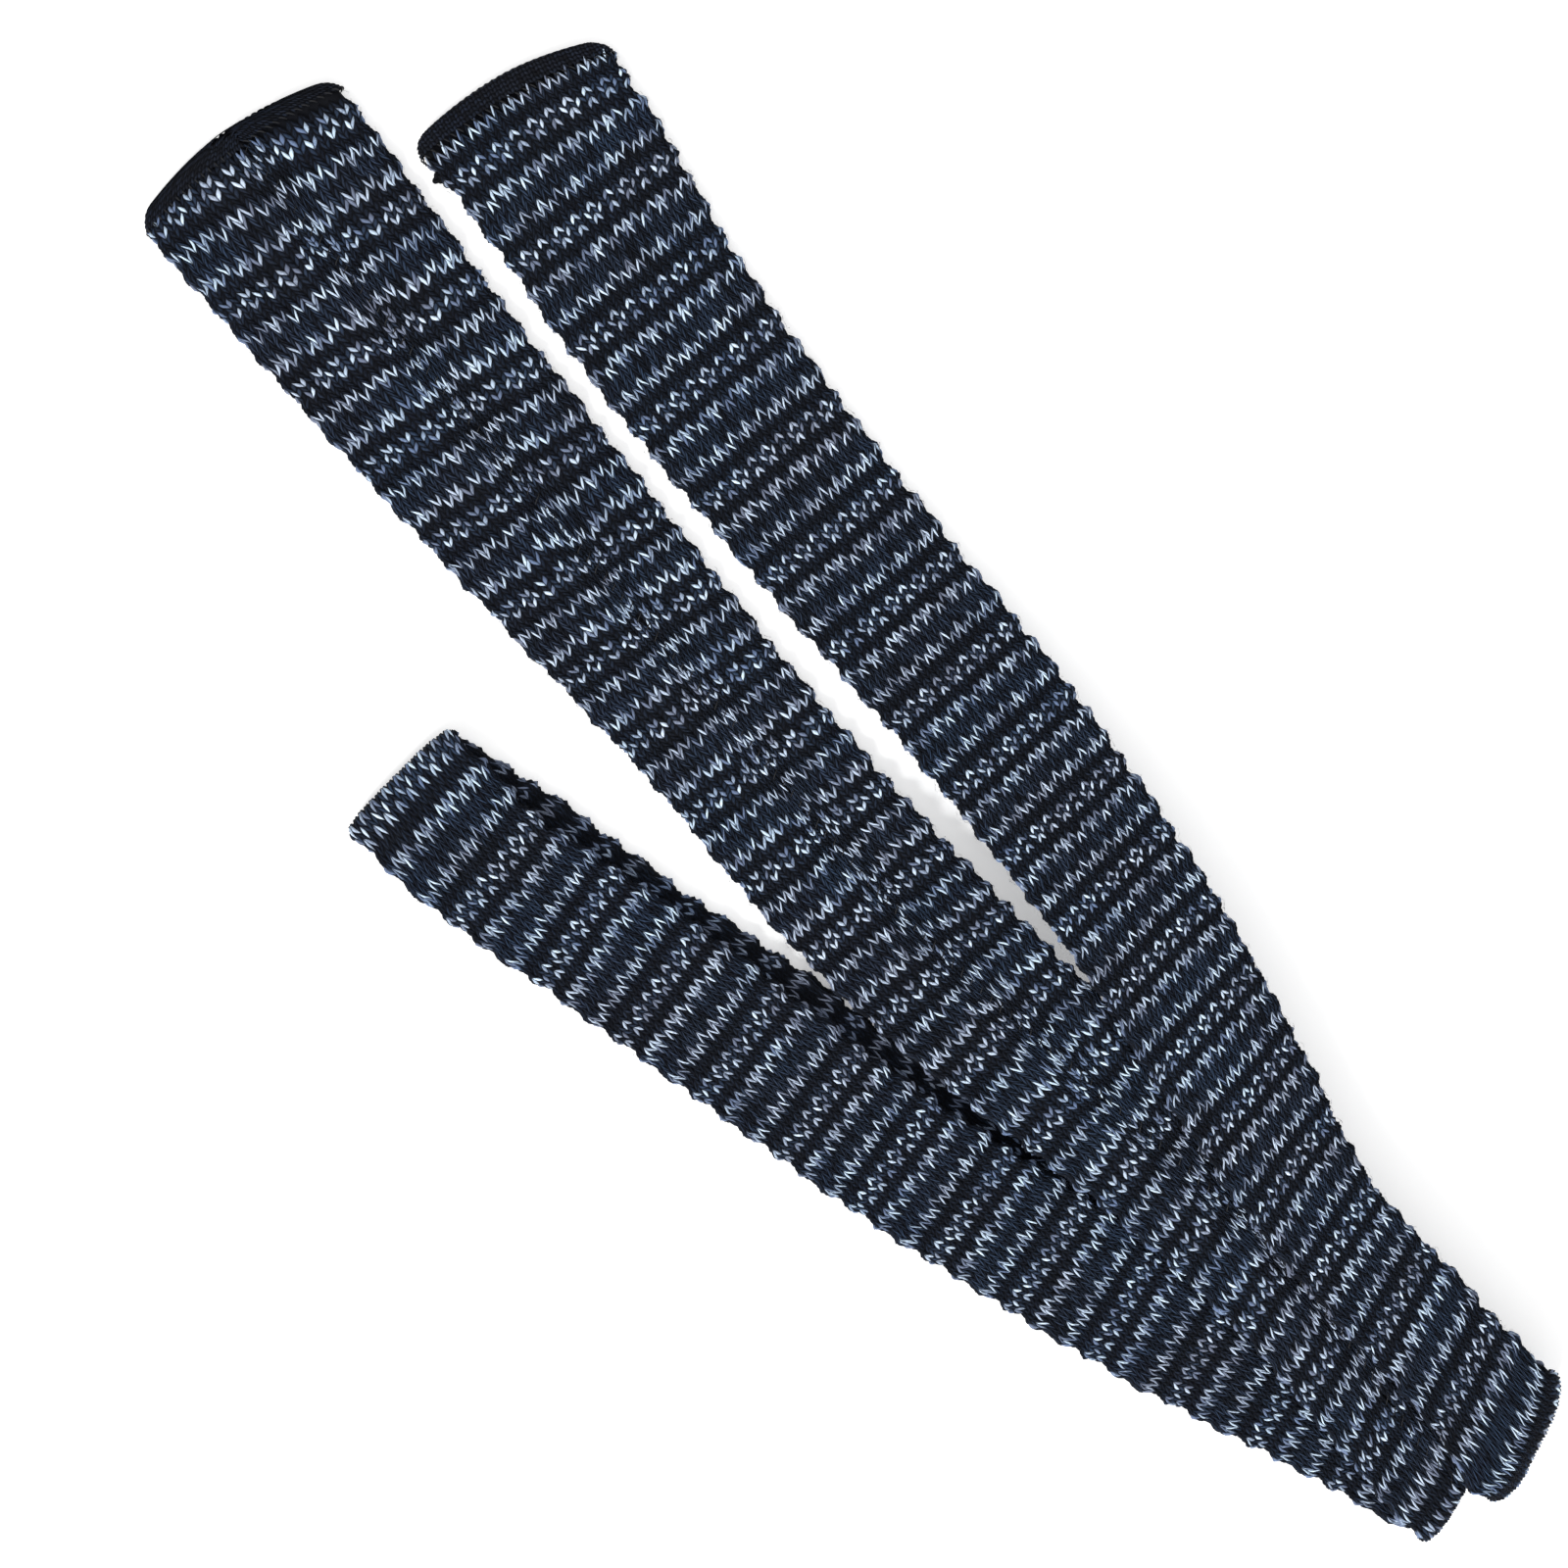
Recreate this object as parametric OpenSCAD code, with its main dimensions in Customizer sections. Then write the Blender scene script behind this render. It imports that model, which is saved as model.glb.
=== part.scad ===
// Square-ended knitted necktie, laid flat and folded into four lays.
// One flattened knitted tube runs from the narrow end to the wide end:
// narrow blade, outer fold, lower neck lay, loop fold, upper neck lay, inner fold, wide blade.
// +X runs from the blade ends to the folds, +Z is up, and the tie rests on z = 0.

/* [Knitted tube] */
// Thickness of one flattened lay, two plies of knitting
lay_t = 3.6; // [3:0.1:4.2]
// Air between lays that rest on each other
lay_gap = 0.3; // [0.25:0.05:0.5]
// Height of the slit between the two plies
slit_t = 1.1; // [1:0.05:1.3]
// Width across the wide end
wide_w = 60; // [54:1:64]
// Width across the narrow end
narrow_w = 54; // [48:1:58]
// Width of the neck part
neck_w = 35; // [32:1:38]

/* [Ends] */
// Depth of the plain hem at each end
hem_l = 6.5; // [5:0.5:9]
// Diameter of the knotted yarn end at the corner of the narrow hem
knot_d = 3.2; // [2:0.2:3.6]

/* [Sewing] */
// Width of the stay tape inside the neck
tape_w = 22; // [14:1:24]
// Thickness of the stay tape and of the sewing threads
thread_t = 0.4; // [0.3:0.05:0.45]
// Width of the seam thread's zigzag
thread_w = 2.4; // [1.5:0.1:3]
// Distance from a slit's end to the tape and thread inside it
end_gap = 3; // [2:0.5:6]

/* [Bends] */
// Length of tube that bends when the neck loop is lifted
loop_bend_l = 38; // [34:1:42]
// Length of tube that bends when the wide blade is lifted
wide_bend_l = 40; // [36:1:44]

/* [Hidden] */
pitch = lay_t + lay_gap;
mid = lay_t / 2;

// Stations of each lay: [x, y, width, angle of the crosswise line from +Y], from left to right
narrow_lay = [
    [-194, 58.3, narrow_w, -9], [-170, 58, 0.96 * narrow_w, -5], [-128, 54.6, 0.89 * narrow_w, 0],
    [-84, 54.1, 0.84 * narrow_w, 0], [-40, 55.2, 0.8 * narrow_w, 1], [2, 56.8, 0.77 * narrow_w, 1],
    [60, 55.3, 0.71 * narrow_w, -2], [110, 49.5, 0.65 * narrow_w, -3], [147, 46.3, 0.58 * narrow_w, 3],
    [182, 48.6, 0.56 * narrow_w, 14], [213.6, 50, 0.57 * narrow_w, 26]];
wide_lay = [
    [-225.5, -3, 0.97 * wide_w, -2], [-214, -3, wide_w, 0], [-156, -1.7, 0.92 * wide_w, 2],
    [-99, 0.6, 0.84 * wide_w, 3], [-41, 3.8, 0.76 * wide_w, 4], [2, 5.6, 0.75 * wide_w, 4],
    [31, 8.3, 0.72 * wide_w, 6], [60, 12.8, 0.67 * wide_w, 8], [86, 18.3, 0.65 * wide_w, 11],
    [114, 24, 0.62 * wide_w, 12], [150, 29.2, 0.59 * wide_w, 13], [185, 30.2, 0.575 * wide_w, 17],
    [215.3, 30.2, 0.56 * wide_w, 22]];
upper_lay = [
    [-72.8, -66.4, 1.06 * neck_w, 7], [-46, -62, neck_w, 13], [-18, -53.3, 1.01 * neck_w, 16],
    [5, -46.5, 1.02 * neck_w, 16], [39, -36.9, neck_w, 15], [73, -27, 0.99 * neck_w, 15],
    [108, -14.5, neck_w, 18], [146, 0.5, 1.01 * neck_w, 21], [185, 18.2, neck_w, 23],
    [215.3, 30.2, 0.56 * wide_w, 22]];
lower_lay = [
    [-72.8, -66.4, 1.06 * neck_w, 7], [-46, -55.8, neck_w, 13], [-7, -45, neck_w, 15],
    [29, -35.2, neck_w, 16], [70, -23, neck_w, 18], [110, -6.5, neck_w, 22], [150, 13, neck_w, 25],
    [185, 32, 0.94 * neck_w, 27], [213.6, 50, 0.57 * narrow_w, 26]];

// Where each blade climbs from the ground onto the lays under it: [start x, end x]
narrow_climb = [-70, 90];
wide_climb = [-30, 95];

// Where the bends of the neck loop and of the wide blade start and end, in x
loop_bend = [-12, -12 + loop_bend_l];
wide_bend = [8, 8 + wide_bend_l];

tube_half = [mid, slit_t / 2]; // half thickness outside, and of the slit
inset = 2 * mid; // how far the slit stays inside each edge of the tube
thread_off = (slit_t - thread_t) / 2 - 0.07; // tape and thread lie this far from the middle

function smooth(u) = let (v = min(max(u, 0), 1)) v * v * (3 - 2 * v);
function unit(v) = v / norm(v);

// Height of a lay's middle: level 0 is the bottom of the stack and level 3 its top
function height(level, x) =
    mid + (level == 3 ? 3 * pitch * smooth((x - narrow_climb[0]) / (narrow_climb[1] - narrow_climb[0]))
         : level == 2 ? 2 * pitch * smooth((x - wide_climb[0]) / (wide_climb[1] - wide_climb[0]))
         : level * pitch);

function slope(st, i) =
    let (a = max(i - 1, 0), b = min(i + 1, len(st) - 1)) (st[b] - st[a]) / (st[b][0] - st[a][0]);
function segment(st, x, i = 0) = i >= len(st) - 2 || x <= st[i + 1][0] ? i : segment(st, x, i + 1);

// A smooth cubic through the stations, read at x
function at(st, x) =
    let (i = segment(st, x), h = st[i + 1][0] - st[i][0], u = (x - st[i][0]) / h)
    st[i] * (2 * u ^ 3 - 3 * u ^ 2 + 1) + slope(st, i) * h * (u ^ 3 - 2 * u ^ 2 + u)
    + st[i + 1] * (3 * u ^ 2 - 2 * u ^ 3) + slope(st, i + 1) * h * (u ^ 3 - u ^ 2);

function middle(st, level, x) = let (s = at(st, x)) [x, s[1], height(level, x)];

// A ring is [middle, crosswise direction, direction of the knit's face, half width]
function lay_ring(st, level, x, face) =
    let (s = at(st, x), across = [-sin(s[3]), cos(s[3]), 0],
         along = middle(st, level, min(x + 0.5, 999)) - middle(st, level, x - 0.5))
    [middle(st, level, x), across, face * unit(cross(along, across)), s[2] / 2];

// Rings of one stretch of a lay; face is 1 where the knit's face is up and -1 where it is down
function stretch(st, level, from, to, count, face) =
    [for (i = [0:count]) lay_ring(st, level, from + (to - from) * i / count, face)];

// Rings round a fold between two lays that end at the same place.
// side is 1 at the +X folds and -1 at the loop; out is 1 where the knit's face is outside
function fold_rings(st, low, high, side, out, steps = 8) =
    let (s = side > 0 ? st[len(st) - 1] : st[0], across = [-sin(s[3]), cos(s[3]), 0],
         away = side * [cos(s[3]), sin(s[3]), 0], r = (high - low) * pitch / 2,
         centre = [s[0], s[1], mid + (high + low) * pitch / 2])
    [for (i = [0:steps]) let (a = -90 + 180 * i / steps, d = cos(a) * away + [0, 0, sin(a)])
        [centre + r * d, across, out * d, s[2] / 2]];

// Outline of a flattened tube: flat above and below, round at both edges
function section(half_w, half_t) =
    [for (a = [-90:45:90]) [half_w - half_t + half_t * cos(a), half_t * sin(a)],
     for (a = [90:45:270]) [half_t - half_w + half_t * cos(a), half_t * sin(a)]];

// A section placed on a ring; off moves it towards the knit's face
function placed(ring, half_w, half_t, off = 0) =
    [for (p = section(half_w, half_t)) ring[0] + ring[1] * p[0] + ring[2] * (p[1] + off)];

// Triangles between two loops of n points that start at a and b
function band(a, b, n) =
    [for (i = [0:n - 1]) let (j = (i + 1) % n) each [[a + i, b + i, b + j], [a + i, b + j, a + j]]];
function turned(faces) = [for (f = faces) [f[2], f[1], f[0]]];

// Whether the rings run so that their faces need turning round
function runs_back(rings) = cross(rings[0][1], rings[0][2]) * (rings[1][0] - rings[0][0]) < 0;

// A closed bar along the rings
module bar(rings, half_w, half_t, off = 0) {
    n = len(section(1, 0.1));
    last = (len(rings) - 1) * n;
    pts = [for (r = rings) each placed(r, is_undef(half_w) ? r[3] : half_w, half_t, off)];
    skin = [for (k = [0:len(rings) - 2]) each band(k * n, (k + 1) * n, n)];
    ends = [for (i = [1:n - 2]) each [[0, i, i + 1], [last, last + i + 1, last + i]]];
    faces = concat(skin, ends);
    polyhedron(pts, runs_back(rings) ? faces : turned(faces));
}

// A tube along the rings, with the slit between its plies open at both ends
module tube(rings) {
    n = len(section(1, 0.1));
    count = len(rings);
    slit = count * n;
    last = (count - 1) * n;
    pts = [for (r = rings) each placed(r, r[3], tube_half[0]),
           for (r = rings) each placed(r, r[3] - inset, tube_half[1])];
    outside = [for (k = [0:count - 2]) each band(k * n, (k + 1) * n, n)];
    inside = [for (k = [0:count - 2]) each band(slit + (k + 1) * n, slit + k * n, n)];
    ends = concat(band(slit, 0, n), band(last, slit + last, n));
    faces = concat(outside, inside, ends);
    polyhedron(pts, runs_back(rings) ? faces : turned(faces));
}

narrow_start = narrow_lay[0][0];
wide_start = wide_lay[0][0];
fold_x = [narrow_lay[len(narrow_lay) - 1][0], wide_lay[len(wide_lay) - 1][0], lower_lay[0][0]];

// Rings of the stretches that several pieces follow
loop_low = stretch(lower_lay, 0, fold_x[2], loop_bend[0], 6, -1);
loop_high = stretch(upper_lay, 1, fold_x[2], loop_bend[0], 6, 1);
stack_low = stretch(lower_lay, 0, loop_bend[1], fold_x[0], 14, -1);
stack_high = stretch(upper_lay, 1, loop_bend[1], fold_x[1], 14, 1);
root_rings = stretch(wide_lay, 2, wide_bend[1], fold_x[1], 14, -1);

function backwards(list) = [for (i = [len(list) - 1:-1:0]) list[i]];

// Rings all the way round the neck loop, from its lower lay to its upper lay, short of its ends
function loop_path(gap) = concat(
    backwards(stretch(lower_lay, 0, fold_x[2] + 0.01, loop_bend[0] - gap, 6, -1)),
    fold_rings(lower_lay, 0, 1, -1, 1),
    stretch(upper_lay, 1, fold_x[2] + 0.01, loop_bend[0] - gap, 6, 1));

module stack_lower_lay() { color("#1b2331") tube(stack_low); }
module stack_upper_lay() { color("#222c3d") tube(stack_high); }
module stack_inner_fold() { color("#2a3548") tube(fold_rings(wide_lay, 1, 2, 1, -1)); }
module wide_blade_root() { color("#273246") tube(root_rings); }
module outer_fold() { color("#2c384d") tube(fold_rings(narrow_lay, 0, 3, 1, 1, 12)); }

// Seam thread along the reverse ply of the upper neck lay, the inner fold and the wide blade's root
module stack_seam_thread() {
    color("#0d1118") bar(concat(
        stretch(upper_lay, 1, loop_bend[1] + end_gap, fold_x[1] - 0.01, 12, 1),
        fold_rings(wide_lay, 1, 2, 1, -1),
        backwards(stretch(wide_lay, 2, wide_bend[1] + end_gap, fold_x[1] - 0.01, 12, -1))),
        thread_w / 2, thread_t / 2, -thread_off);
}

module narrow_blade() {
    color("#222c3d") tube(stretch(narrow_lay, 3, narrow_start + hem_l, fold_x[0], 24, 1));
}
module narrow_hem() {
    color("#10151f") bar(stretch(narrow_lay, 3, narrow_start, narrow_start + hem_l, 2, 1),
        undef, mid);
}
module narrow_hem_stitching() {
    x = narrow_start + hem_l;
    color("#0d1118") bar(stretch(narrow_lay, 3, x, x + thread_w, 1, 1),
        narrow_w / 2 - inset - 1.5, thread_t / 2, thread_off);
}
module narrow_seam_thread() {
    color("#0d1118") bar(stretch(narrow_lay, 3, narrow_start + hem_l, fold_x[0] - end_gap, 20, 1),
        thread_w / 2, thread_t / 2, -thread_off);
}
module narrow_yarn_knot() {
    x = narrow_start + hem_l + knot_d;
    r = lay_ring(narrow_lay, 3, x, 1);
    color("#141b27") translate(r[0] - r[1] * (r[3] + knot_d / 2)) sphere(d = knot_d, $fn = 24);
}

module wide_blade_bend() {
    color("#1f2838") tube(stretch(wide_lay, 2, wide_bend[0], wide_bend[1], 6, -1));
}
module wide_blade() {
    color("#273246") tube(stretch(wide_lay, 2, wide_start + hem_l, wide_bend[0], 16, -1));
}
module wide_hem() {
    color("#10151f") bar(stretch(wide_lay, 2, wide_start, wide_start + hem_l, 2, -1), undef, mid);
}
module wide_hem_stitching() {
    x = wide_start + hem_l;
    color("#0d1118") bar(stretch(wide_lay, 2, x, x + thread_w, 1, -1),
        wide_w / 2 - inset - 1.5, thread_t / 2, thread_off);
}
module wide_seam_thread() {
    color("#0d1118") bar(stretch(wide_lay, 2, wide_start + hem_l, wide_bend[0] - end_gap, 14, -1),
        thread_w / 2, thread_t / 2, -thread_off);
}

module loop_bend_lower() {
    color("#1b2331") tube(stretch(lower_lay, 0, loop_bend[0], loop_bend[1], 6, -1));
}
module loop_bend_upper() {
    color("#1f2838") tube(stretch(upper_lay, 1, loop_bend[0], loop_bend[1], 6, 1));
}
module neck_loop_lower() { color("#1b2331") tube(loop_low); }
module neck_loop_upper() { color("#222c3d") tube(loop_high); }
module neck_loop_fold() { color("#2a3548") tube(fold_rings(lower_lay, 0, 1, -1, 1)); }

// Woven tape along the face ply inside the neck loop
module neck_stay_tape() {
    color("#3a3f4a") bar(loop_path(end_gap), tape_w / 2, thread_t / 2, thread_off);
}
module loop_seam_thread() {
    color("#0d1118") bar(loop_path(end_gap), thread_w / 2, thread_t / 2, -thread_off);
}

stack_lower_lay();
stack_upper_lay();
stack_inner_fold();
wide_blade_root();
stack_seam_thread();
outer_fold();
narrow_blade();
narrow_hem();
narrow_hem_stitching();
narrow_seam_thread();
narrow_yarn_knot();
wide_blade_bend();
wide_blade();
wide_hem();
wide_hem_stitching();
wide_seam_thread();
loop_bend_lower();
loop_bend_upper();
neck_loop_lower();
neck_loop_upper();
neck_loop_fold();
neck_stay_tape();
loop_seam_thread();
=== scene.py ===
# A knitted tie folded into four lays. Sizes in the dictionaries are millimetres.
import math
import bpy
import numpy as np
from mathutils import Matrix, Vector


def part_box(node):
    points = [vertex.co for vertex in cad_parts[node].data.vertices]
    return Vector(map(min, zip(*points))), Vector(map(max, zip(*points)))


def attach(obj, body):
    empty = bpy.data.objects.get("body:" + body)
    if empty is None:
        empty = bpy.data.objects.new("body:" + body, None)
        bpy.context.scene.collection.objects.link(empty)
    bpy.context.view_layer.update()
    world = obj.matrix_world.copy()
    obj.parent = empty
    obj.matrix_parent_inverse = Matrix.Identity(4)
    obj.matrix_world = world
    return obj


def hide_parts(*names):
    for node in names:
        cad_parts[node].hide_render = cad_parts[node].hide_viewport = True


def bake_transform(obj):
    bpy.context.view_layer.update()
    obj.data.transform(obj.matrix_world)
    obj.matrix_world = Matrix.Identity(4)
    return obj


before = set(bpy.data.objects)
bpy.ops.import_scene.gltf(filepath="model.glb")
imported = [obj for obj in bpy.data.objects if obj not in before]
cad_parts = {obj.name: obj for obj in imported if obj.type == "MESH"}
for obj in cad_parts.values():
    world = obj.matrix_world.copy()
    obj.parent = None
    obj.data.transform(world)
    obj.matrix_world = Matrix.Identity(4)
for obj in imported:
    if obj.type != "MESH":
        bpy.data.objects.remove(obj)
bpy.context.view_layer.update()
mm = 0.001

# The tie is one flattened tube, followed from its narrow end to its wide end
layFloor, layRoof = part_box("stack_lower_lay")
lay = {
    "thickness": (layRoof[2] - layFloor[2]) / mm,
    "pitch": (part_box("stack_upper_lay")[0][2] - layFloor[2]) / mm,
    "wideWidth": 60,
    "narrowWidth": 54,
    "neckWidth": 35,
    "narrowClimb": (-70, 90),
    "wideClimb": (-30, 95),
}

# Stations of a lay: x, y, share of the width, angle of the crosswise line from +Y.
# lean is how many degrees more its courses lean than that line, and wale the width of one
# column of stitches, both at places in x.
narrowLay = {"level": 3, "width": lay["narrowWidth"], "towards": 1, "stations": [
    (-194, 58.3, 1, -9), (-170, 58, 0.96, -5), (-128, 54.6, 0.89, 0), (-84, 54.1, 0.84, 0),
    (-40, 55.2, 0.8, 1), (2, 56.8, 0.77, 1), (60, 55.3, 0.71, -2), (110, 49.5, 0.65, -3),
    (147, 45.6, 0.56, 3), (182, 48.4, 0.56, 14), (213.6, 50, 0.57, 26)],
    "lean": [(-194, 2), (-150, 1), (-20, 0), (30, 5), (70, 10), (110, 17), (147, 17), (180, 12),
             (213, 4)],
    "wale": [(-194, 2.6), (-120, 2.33), (-60, 2.12), (50, 1.98), (213, 1.78)]}
wideLay = {"level": 2, "width": lay["wideWidth"], "towards": -1, "stations": [
    (-225.5, -3, 0.97, -2), (-214, -3, 1, 0), (-156, -1.7, 0.92, 2), (-99, 0.6, 0.84, 3),
    (-41, 3.8, 0.76, 4), (2, 5.7, 0.765, 4), (31, 8.7, 0.76, 6), (60, 13.3, 0.72, 8),
    (86, 18.6, 0.67, 11), (114, 24, 0.62, 12), (150, 29.2, 0.59, 13), (185, 30.2, 0.575, 17),
    (215.3, 30.2, 0.56, 22)],
    "lean": [(-225, -4), (-210, -8), (-150, -8), (-60, -7), (40, -2), (110, 6), (170, 9), (215, 3)],
    "wale": [(-225, 2.6), (-120, 2.35), (0, 2.12), (215, 1.85)]}
upperLay = {"level": 1, "width": lay["neckWidth"], "towards": 1, "stations": [
    (-72.8, -66.4, 1.06, 7), (-46, -62, 1, 13), (-18, -53.3, 1.01, 16), (5, -46.5, 1.02, 16),
    (39, -36.9, 1, 15), (73, -27, 0.99, 15), (108, -14.5, 1, 18), (146, 0.5, 1.01, 21),
    (185, 18.2, 1, 23), (215.3, 30.2, 0.96, 22)],
    "lean": [(-72, 1), (-50, 3), (0, 1), (210, 0)], "wale": [(-72, 2.05), (215, 1.95)]}
lowerLay = {"level": 0, "width": lay["neckWidth"], "towards": -1, "stations": [
    (-72.8, -66.4, 1.06, 7), (-46, -55.8, 1, 13), (-7, -45, 1.01, 15), (29, -34.3, 1.07, 16),
    (70, -22.4, 1.04, 18), (110, -6.5, 1, 22), (150, 13, 1, 25), (185, 32, 0.94, 27),
    (213.6, 50, 0.87943, 26)],
    "lean": [(-72, 0), (210, 0)], "wale": [(-72, 2.05), (213, 1.8)]}


def smoothStep(u):
    v = np.clip(u, 0, 1)
    return v * v * (3 - 2 * v)


# A cubic through the stations, whose slope at each is that between its two neighbours
def throughStations(stations, x):
    st = np.array(stations, float)
    at = np.arange(len(st))
    before, after = st[np.maximum(at - 1, 0)], st[np.minimum(at + 1, len(st) - 1)]
    slope = (after - before) / (after - before)[:, :1]
    i = np.clip(np.searchsorted(st[:, 0], x, side="left") - 1, 0, len(st) - 2)
    h = (st[i + 1, 0] - st[i, 0])[:, None]
    u = (x - st[i, 0])[:, None] / h
    return (st[i] * (2 * u**3 - 3 * u**2 + 1) + slope[i] * h * (u**3 - 2 * u**2 + u)
            + st[i + 1] * (3 * u**2 - 2 * u**3) + slope[i + 1] * h * (u**3 - u**2))


def layHeight(level, x):
    middle = lay["thickness"] / 2
    if level < 2:
        return middle + level * lay["pitch"] + 0 * x
    start, end = lay["narrowClimb"] if level == 3 else lay["wideClimb"]
    return middle + level * lay["pitch"] * smoothStep((x - start) / (end - start))


# Middle, crosswise direction, half width, lean of the courses and width of a wale, along x
def alongLay(which, x):
    s = throughStations(which["stations"], x)
    turn = np.radians(s[:, 3])
    middle = np.stack([s[:, 0], s[:, 1], layHeight(which["level"], x)], 1)
    across = np.stack([-np.sin(turn), np.cos(turn), 0 * turn], 1)
    leanAt, leanBy = np.array(which["lean"], float).T
    lean = -which["towards"] * np.tan(np.radians(np.interp(x, leanAt, leanBy)))
    waleAt, waleBy = np.array(which["wale"], float).T
    return middle, across, s[:, 2] * which["width"] / 2, lean, np.interp(x, waleAt, waleBy)


# Each fold lies at one end of a lay, and levels are the heights it joins. Its middle stands out beyond
# its corners by bow, all of it stands out by lead and slides towards +Y by slide, and each side
# flares by flare, which fades along the lay over flareReach.
folds = {
    "outerFold": {"lay": narrowLay, "end": -1, "levels": (0, 3), "points": 60, "bow": 3.8,
                  "lead": -0.6, "slide": -1.2, "flare": 2.3, "flareReach": 14},
    "loopFold": {"lay": lowerLay, "end": 0, "levels": (0, 1), "points": 40, "bow": 1.4,
                 "lead": 1.2, "slide": 0, "flare": -0.3, "flareReach": 5},
    "innerFold": {"lay": wideLay, "end": -1, "levels": (1, 2), "points": 40, "bow": 2.4,
                  "lead": 0.6, "slide": 0, "flare": -0.3, "flareReach": 5}}
bowReach = 5
layPoints = 500


# Middle, crosswise direction and half width of the lay at a fold, and the way the fold points
def atFold(fold):
    x = np.array([fold["lay"]["stations"][fold["end"]][0]], float)
    middle, across, half = alongLay(fold["lay"], x)[:3]
    away = np.array([across[0, 1], -across[0, 0], 0]) * (1 if fold["end"] else -1)
    return middle[0], across[0], half[0], away


# The same five values as alongLay, round a half circle between the fold's two heights
def roundFold(fold):
    middle, across, half, away = atFold(fold)
    low, high = fold["levels"]
    count = fold["points"]
    turn = np.linspace(-math.pi / 2, math.pi / 2, count)[:, None]
    radius = (high - low) * lay["pitch"] / 2
    centre = middle * [1, 1, 0] + [0, 0, lay["thickness"] / 2 + (high + low) * lay["pitch"] / 2]
    points = centre + radius * (np.cos(turn) * away + np.sin(turn) * [0, 0, 1])
    unknown = np.full(count, np.nan)
    return points, np.repeat(across[None], count, 0), np.repeat(half, count), unknown, unknown


def runLay(which):
    x = np.linspace(which["stations"][0][0], which["stations"][-1][0], layPoints)
    return alongLay(which, x[::which["towards"]])


# Every lay and fold in turn, with s the length along the middle of the tube
def buildStrip():
    parts = {
        "narrow": runLay(narrowLay),
        "outerFold": [r[::-1] for r in roundFold(folds["outerFold"])],
        "lower": runLay(lowerLay),
        "loopFold": roundFold(folds["loopFold"]),
        "upper": runLay(upperLay),
        "innerFold": roundFold(folds["innerFold"]),
        "wide": runLay(wideLay)}
    middle, across, half, lean, wale = [np.concatenate([p[k] for p in parts.values()]) for k in range(5)]
    part = np.concatenate([np.full(len(p[2]), i) for i, p in enumerate(parts.values())])
    step = np.linalg.norm(np.diff(middle, axis=0), axis=1)
    s = np.concatenate([[0], np.cumsum(step)])
    known = ~np.isnan(lean)
    lean = np.interp(s, s[known], lean[known])
    wale = np.interp(s, s[known], wale[known])
    keep = np.concatenate([[True], step > 1e-6])
    along = np.gradient(middle[keep], s[keep], axis=0)
    up = np.cross(along, across[keep])
    table = {"s": s[keep], "middle": middle[keep], "across": across[keep], "half": half[keep],
             "lean": lean[keep], "wale": wale[keep], "up": up / np.linalg.norm(up, axis=1)[:, None],
             "flare": np.zeros(keep.sum()), "bow": np.zeros((keep.sum(), 3)),
             "slide": np.zeros((keep.sum(), 3))}
    ends = {name: (s[part == i][0], s[part == i][-1]) for i, name in enumerate(parts)}
    for name, fold in folds.items():
        first, last = ends[name]
        beyond = np.maximum(np.maximum(first - table["s"], table["s"] - last), 0)
        near = np.exp(-(beyond / bowReach) ** 2)
        line, away = atFold(fold)[1::2]
        table["flare"] = table["flare"] + fold["flare"] * np.exp(-(beyond / fold["flareReach"]) ** 2)
        table["bow"] = table["bow"] + fold["bow"] * near[:, None] * away
        table["slide"] = table["slide"] + near[:, None] * (fold["lead"] * away + fold["slide"] * line)
    return table, ends


strip, ends = buildStrip()
total = strip["s"][-1]
print("tube, millimetres along its middle:", round(total))


# A value of the strip at s. The two directions are made one unit long again.
def readStrip(name, s):
    value = strip[name]
    if value.ndim == 1:
        return np.interp(s, strip["s"], value)
    out = np.stack([np.interp(s, strip["s"], value[:, k]) for k in range(3)], -1)
    return out / np.linalg.norm(out, axis=-1)[..., None] if name in ("across", "up") else out


# s at a place x on one of the lays
def sAt(name, x):
    first, last = ends[name]
    inside = (strip["s"] > first + 0.1) & (strip["s"] < last - 0.1)
    order = np.argsort(strip["middle"][inside, 0])
    return float(np.interp(x, strip["middle"][inside, 0][order], strip["s"][inside][order]))


knit = {
    "course": 1.63,  # one row of stitches, along the tube
    "legs": 124,  # two to a wale, enough to go round the widest place
    "ringRow": 1.5,  # the course where the legs lie flattest
    "run": (1.95, 1.1),  # how far a leg runs along the tube, in courses, and how much less in ring rows
    "relief": 0.62,
    "fullness": (0.7, 0.6),  # powers of the sines over a leg's thickness and length
    "proud": 0.1,  # how far the highest stitches stand out of the lay
    "paleRise": 0.1,
    "hollow": 0.42,  # how far the dark rows beside the rings sink
    "hollowRows": ((3.9, 2.2), (13.6, 2.0)),  # middle and half width of those rows, in courses
    "ringKnob": 0.2,
    "edgeRelief": 0.2,
    "sunk": 0.06,
    "heightWave": 0.1,
    "alongWave": 0.3,
    "roundWave": 0.14,
    # darker tone in the hollow rows beside the rings, partly their own dark ground and partly painted shade
    # in the recess
    "hollowToneAndShade": 0.8,
    # painted shade towards the edges, where the tube turns away from the light
    "paintedEdgeShade": 0.9,
    "clear": 0.02,  # no stitch comes nearer than this to the open ends
    "deepest": 0.8,  # share of the half thickness that nothing sinks below
}
edge = {
    "reach": 0.55,  # how far the knobbly edges reach beyond the plain outline
    "scallop": 0.95,
    "scallopRows": 5,
    "knob": 0.24,
    "knobWaves": ((1, 1.93, 1.3), (0.7, 1.21, 2.1), (0.5, 2.77, 3)),  # share, per millimetre, shift
    "plain": (4, 6),  # the edges are plain this near the ends, and fully uneven that much further on
}
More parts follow.
